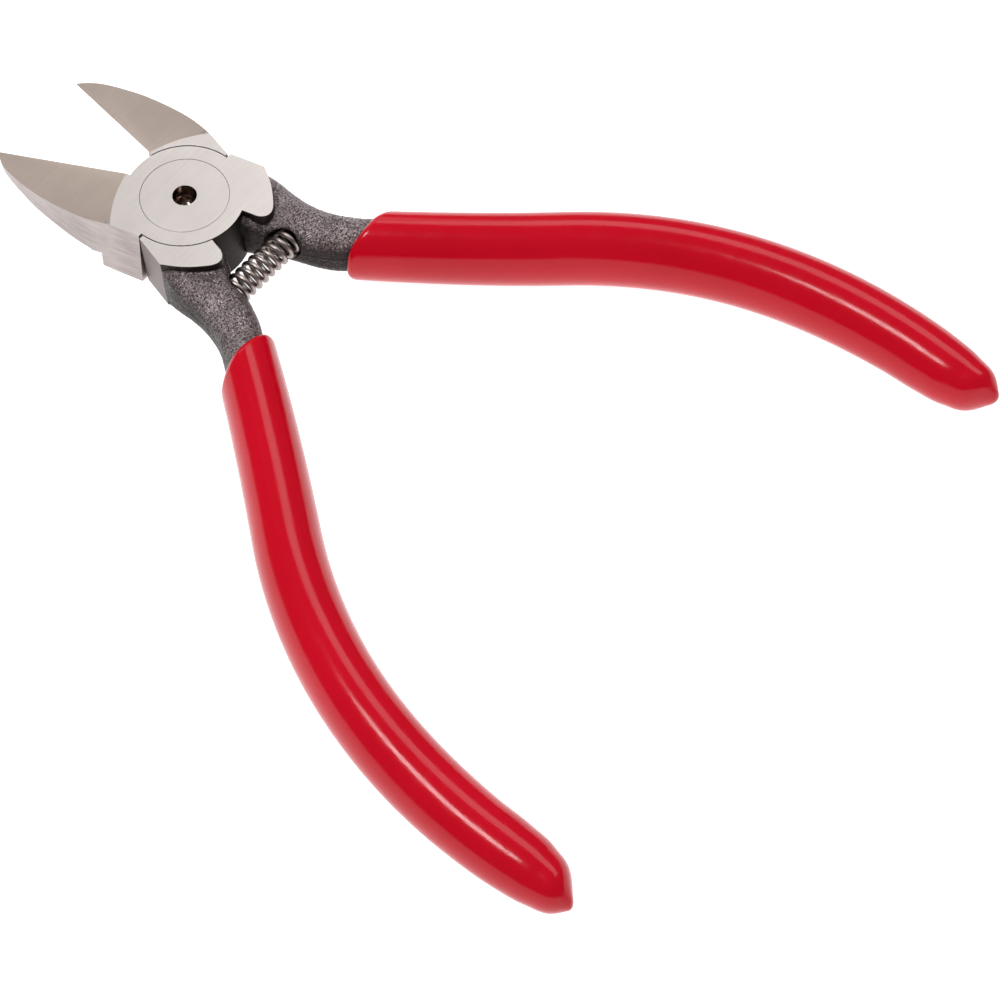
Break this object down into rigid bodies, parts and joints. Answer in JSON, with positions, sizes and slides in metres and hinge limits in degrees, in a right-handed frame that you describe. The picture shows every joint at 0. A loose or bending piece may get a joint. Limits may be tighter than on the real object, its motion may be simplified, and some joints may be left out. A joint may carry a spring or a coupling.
{
  "type": "sprue nippers",
  "caption": "Lap-jointed flush-cutting plastic nippers with curved dipped grips and a coil return spring, resting open.",
  "frame": {"origin": "on the pivot axis, at the rear face of the joint", "axes": "+Z along the pivot axis from the rear face to the front face, +Y to the blade tips, +X to the side of the front lever's handle"},
  "size_m": [0.0916, 0.122, 0.0118],
  "materials": {
    "forged_steel": "ground joint faces and blades, dark forged necks",
    "ground_steel": "fine ground, satin",
    "spring_wire": "drawn spring wire, bright",
    "dipped_grip": "glossy dip-moulded soft plastic, red"
  },
  "bodies": {
    "rear_half": {"rear_lever": "forged_steel", "pivot_rivet": "ground_steel", "return_spring": "spring_wire", "rear_grip": "dipped_grip"},
    "front_half": {"front_lever": "forged_steel", "front_grip": "dipped_grip"}
  },
  "joints": [
    {"name": "squeeze", "type": "hinge", "parent": "rear_half", "child": "front_half", "pos_m": [0, 0, 0.00445], "axis": [0, 0, -1], "range_deg": [0, 29.8], "stiffness_Nm_per_rad": 0.6, "springref_deg": -6.88, "deforming": ["return_spring"]}
  ]
}
